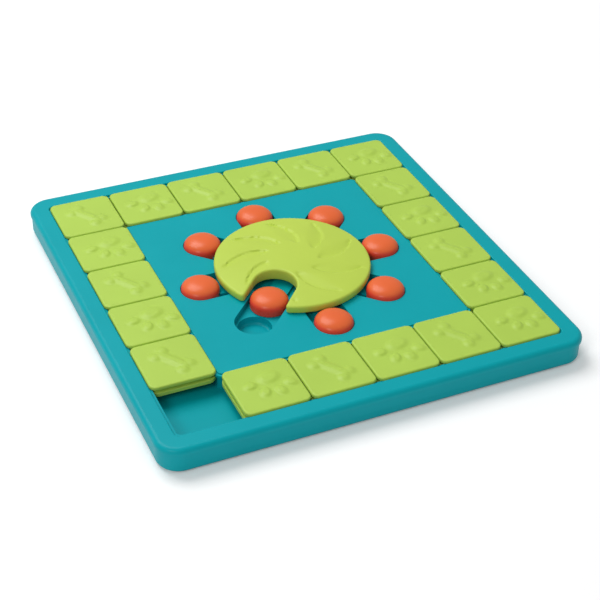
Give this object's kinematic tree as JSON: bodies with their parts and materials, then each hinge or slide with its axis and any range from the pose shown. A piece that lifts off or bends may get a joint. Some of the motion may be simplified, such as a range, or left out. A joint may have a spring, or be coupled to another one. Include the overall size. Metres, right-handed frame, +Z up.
{
  "type": "dog puzzle feeder",
  "caption": "Square treat puzzle board for dogs with a ring of sliding tiles, radial sliding knobs over treat wells and a notched turning disc in the middle.",
  "frame": {"origin": "middle of the board on the surface that it stands on", "axes": "+Z up, +X to the right and +Y to the back, with the empty corner at -X -Y"},
  "size_m": [0.419, 0.419, 0.0392],
  "materials": {
    "teal_shell": "satin",
    "lime_tile": "satin",
    "lime_disc": "satin",
    "orange_knob": "satin",
    "steel": "bright",
    "rubber_foot": "matte"
  },
  "bodies": {
    "board": {"base_tray": "teal_shell", "rim_frame": "teal_shell", "deck_panel": "teal_shell", "rim_screws": "steel", "deck_screws": "steel", "rubber_feet": "rubber_foot"},
    "disc": {"feeder_disc": "lime_disc", "hub_washer": "steel", "hub_screw": "steel"},
    "slider_1": {"knob_1": "orange_knob", "slide_bar_1": "orange_knob"},
    "slider_2": {"knob_2": "orange_knob", "slide_bar_2": "orange_knob"},
    "slider_3": {"knob_3": "orange_knob", "slide_bar_3": "orange_knob"},
    "slider_4": {"knob_4": "orange_knob", "slide_bar_4": "orange_knob"},
    "slider_5": {"knob_5": "orange_knob", "slide_bar_5": "orange_knob"},
    "slider_6": {"knob_6": "orange_knob", "slide_bar_6": "orange_knob"},
    "slider_7": {"knob_7": "orange_knob", "slide_bar_7": "orange_knob"},
    "slider_8": {"knob_8": "orange_knob", "slide_bar_8": "orange_knob"},
    "left_tile_1": {"left_tile_1": "lime_tile"},
    "left_tile_2": {"left_tile_2": "lime_tile"},
    "left_tile_3": {"left_tile_3": "lime_tile"},
    "left_tile_4": {"left_tile_4": "lime_tile"},
    "left_tile_5": {"left_tile_5": "lime_tile"},
    "back_tile_2": {"back_tile_2": "lime_tile"},
    "back_tile_3": {"back_tile_3": "lime_tile"},
    "back_tile_4": {"back_tile_4": "lime_tile"},
    "back_tile_5": {"back_tile_5": "lime_tile"},
    "back_tile_6": {"back_tile_6": "lime_tile"},
    "right_tile_2": {"right_tile_2": "lime_tile"},
    "right_tile_3": {"right_tile_3": "lime_tile"},
    "right_tile_4": {"right_tile_4": "lime_tile"},
    "right_tile_5": {"right_tile_5": "lime_tile"},
    "front_tile_2": {"front_tile_2": "lime_tile"},
    "front_tile_3": {"front_tile_3": "lime_tile"},
    "front_tile_4": {"front_tile_4": "lime_tile"},
    "front_tile_5": {"front_tile_5": "lime_tile"},
    "front_tile_6": {"front_tile_6": "lime_tile"}
  },
  "joints": [
    {"name": "disc_turn", "type": "hinge", "parent": "board", "child": "disc", "pos_m": [0, 0, 0], "axis": [0, 0, 1], "range_deg": [-1.9, 1.9]},
    {"name": "slider_1_slide", "type": "slide", "parent": "board", "child": "slider_1", "axis": [0, 1, 0], "range_m": [-0.0005, 0]},
    {"name": "slider_2_slide", "type": "slide", "parent": "board", "child": "slider_2", "axis": [0.7071, 0.7071, 0], "range_m": [-0.0005, 0]},
    {"name": "slider_3_slide", "type": "slide", "parent": "board", "child": "slider_3", "axis": [1, 0, 0], "range_m": [-0.0005, 0]},
    {"name": "slider_4_slide", "type": "slide", "parent": "board", "child": "slider_4", "axis": [0.7071, -0.7071, 0], "range_m": [-0.0005, 0]},
    {"name": "slider_5_slide", "type": "slide", "parent": "board", "child": "slider_5", "axis": [0, -1, 0], "range_m": [-0.0005, 0]},
    {"name": "slider_6_slide", "type": "slide", "parent": "board", "child": "slider_6", "axis": [-0.7071, -0.7071, 0], "range_m": [0, 0.036]},
    {"name": "slider_7_slide", "type": "slide", "parent": "board", "child": "slider_7", "axis": [-1, 0, 0], "range_m": [-0.0005, 0]},
    {"name": "slider_8_slide", "type": "slide", "parent": "board", "child": "slider_8", "axis": [-0.7071, 0.7071, 0], "range_m": [-0.0005, 0]},
    {"name": "left_tile_1_slide", "type": "slide", "parent": "board", "child": "left_tile_1", "axis": [0, -1, 0], "range_m": [0, 0.0635]},
    {"name": "left_tile_2_slide", "type": "slide", "parent": "board", "child": "left_tile_2", "axis": [0, -1, 0], "range_m": [0, 0.0635]},
    {"name": "left_tile_3_slide", "type": "slide", "parent": "board", "child": "left_tile_3", "axis": [0, -1, 0], "range_m": [0, 0.0635]},
    {"name": "left_tile_4_slide", "type": "slide", "parent": "board", "child": "left_tile_4", "axis": [0, -1, 0], "range_m": [0, 0.0635]},
    {"name": "left_tile_5_slide", "type": "slide", "parent": "board", "child": "left_tile_5", "axis": [0, -1, 0], "range_m": [0, 0.0635]},
    {"name": "back_tile_2_slide", "type": "slide", "parent": "board", "child": "back_tile_2", "axis": [1, 0, 0], "range_m": [-0.0003, 0.0003]},
    {"name": "back_tile_3_slide", "type": "slide", "parent": "board", "child": "back_tile_3", "axis": [1, 0, 0], "range_m": [-0.0003, 0.0003]},
    {"name": "back_tile_4_slide", "type": "slide", "parent": "board", "child": "back_tile_4", "axis": [1, 0, 0], "range_m": [-0.0003, 0.0003]},
    {"name": "back_tile_5_slide", "type": "slide", "parent": "board", "child": "back_tile_5", "axis": [1, 0, 0], "range_m": [-0.0003, 0.0003]},
    {"name": "back_tile_6_slide", "type": "slide", "parent": "board", "child": "back_tile_6", "axis": [1, 0, 0], "range_m": [-0.0003, 0.0003]},
    {"name": "right_tile_2_slide", "type": "slide", "parent": "board", "child": "right_tile_2", "axis": [0, 1, 0], "range_m": [-0.0003, 0.0003]},
    {"name": "right_tile_3_slide", "type": "slide", "parent": "board", "child": "right_tile_3", "axis": [0, 1, 0], "range_m": [-0.0003, 0.0003]},
    {"name": "right_tile_4_slide", "type": "slide", "parent": "board", "child": "right_tile_4", "axis": [0, 1, 0], "range_m": [-0.0003, 0.0003]},
    {"name": "right_tile_5_slide", "type": "slide", "parent": "board", "child": "right_tile_5", "axis": [0, 1, 0], "range_m": [-0.0003, 0.0003]},
    {"name": "front_tile_2_slide", "type": "slide", "parent": "board", "child": "front_tile_2", "axis": [1, 0, 0], "range_m": [-0.0635, 0]},
    {"name": "front_tile_3_slide", "type": "slide", "parent": "board", "child": "front_tile_3", "axis": [1, 0, 0], "range_m": [-0.0635, 0]},
    {"name": "front_tile_4_slide", "type": "slide", "parent": "board", "child": "front_tile_4", "axis": [1, 0, 0], "range_m": [-0.0635, 0]},
    {"name": "front_tile_5_slide", "type": "slide", "parent": "board", "child": "front_tile_5", "axis": [1, 0, 0], "range_m": [-0.0635, 0]},
    {"name": "front_tile_6_slide", "type": "slide", "parent": "board", "child": "front_tile_6", "axis": [1, 0, 0], "range_m": [-0.0635, 0]}
  ],
  "couplings": [
    {"joint": "left_tile_1_slide", "follows": "left_tile_5_slide", "ratio": 1},
    {"joint": "left_tile_2_slide", "follows": "left_tile_5_slide", "ratio": 1},
    {"joint": "left_tile_3_slide", "follows": "left_tile_5_slide", "ratio": 1},
    {"joint": "left_tile_4_slide", "follows": "left_tile_5_slide", "ratio": 1},
    {"joint": "front_tile_3_slide", "follows": "front_tile_2_slide", "ratio": 1},
    {"joint": "front_tile_4_slide", "follows": "front_tile_2_slide", "ratio": 1},
    {"joint": "front_tile_5_slide", "follows": "front_tile_2_slide", "ratio": 1},
    {"joint": "front_tile_6_slide", "follows": "front_tile_2_slide", "ratio": 1}
  ]
}
